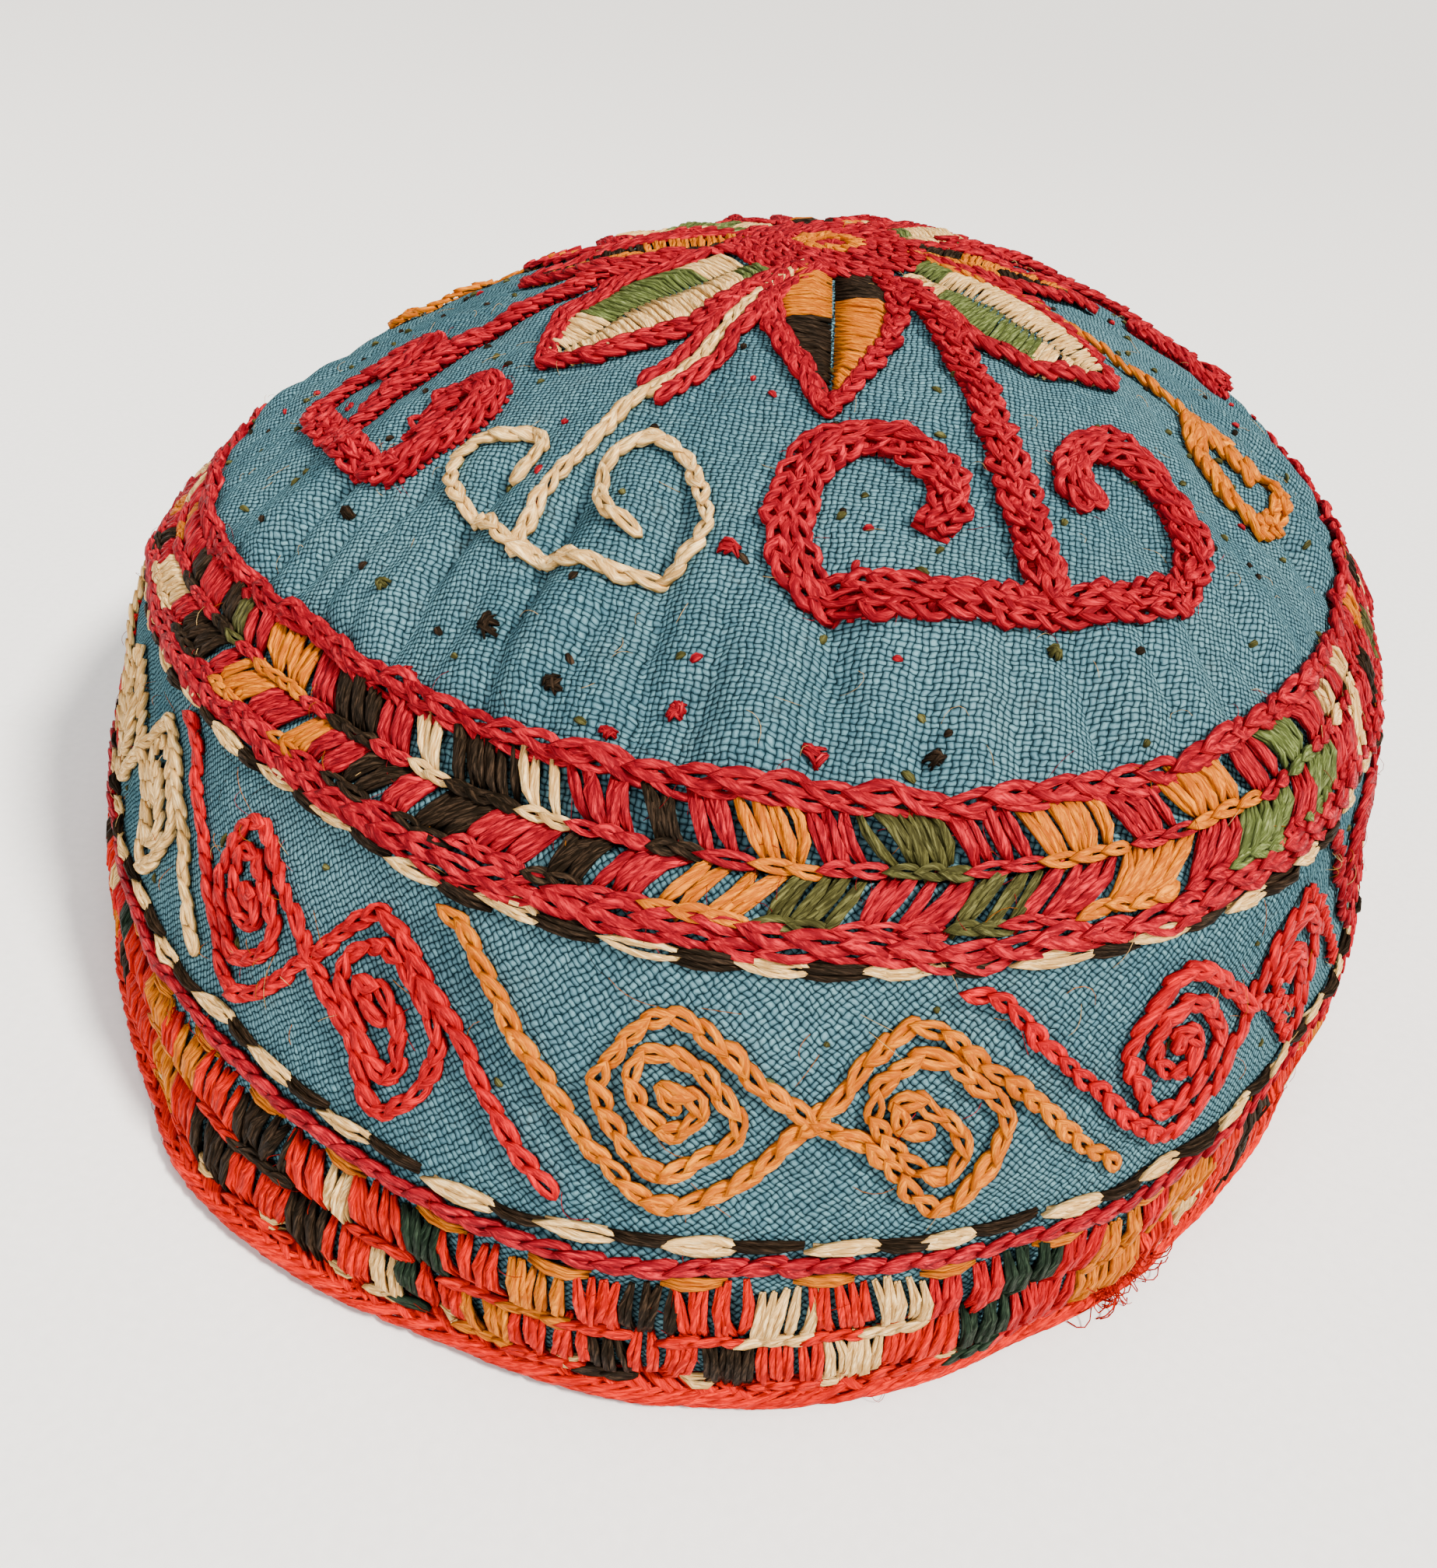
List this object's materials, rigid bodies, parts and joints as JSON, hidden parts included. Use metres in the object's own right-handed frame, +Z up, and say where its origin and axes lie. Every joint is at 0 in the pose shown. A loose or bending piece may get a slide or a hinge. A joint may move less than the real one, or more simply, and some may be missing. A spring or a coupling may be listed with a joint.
{
  "type": "embroidered tubeteika skullcap",
  "caption": "Low domed cotton skullcap with a leaning side wall, raised embroidered seam and hem bands, a petalled crown rosette and ram's-horn scrolls.",
  "frame": {"origin": "centre of the rim's box, on the surface that the cap stands on", "axes": "+Z up through the crown, +Y along the cap's long axis towards its back, +X across it; the front faces -Y"},
  "size_m": [0.1597, 0.1969, 0.0724],
  "materials": {
    "blue_cotton": "coarse plain-weave cotton, matt",
    "crimson_thread": "twisted silk embroidery thread, low sheen",
    "hem_thread": "many-coloured silk embroidery thread, low sheen",
    "rosette_thread": "satin-stitched silk thread, low sheen",
    "cord_thread": "plaited cotton edging, matt",
    "cream_thread": "silk embroidery thread, low sheen",
    "dark_thread": "silk embroidery thread, low sheen",
    "yellow_thread": "silk embroidery thread, low sheen",
    "green_thread": "silk embroidery thread, low sheen"
  },
  "bodies": {
    "root": {"crown": "blue_cotton", "side_wall": "blue_cotton", "seam_band": "crimson_thread", "hem_band": "hem_thread", "rim_cord": "cord_thread", "rosette": "rosette_thread", "horns_front": "crimson_thread", "horns_left": "crimson_thread", "horns_back": "crimson_thread", "horns_right": "crimson_thread", "stem_front": "crimson_thread", "stem_left": "crimson_thread", "stem_back": "crimson_thread", "stem_right": "crimson_thread"}
  },
  "joints": []
}
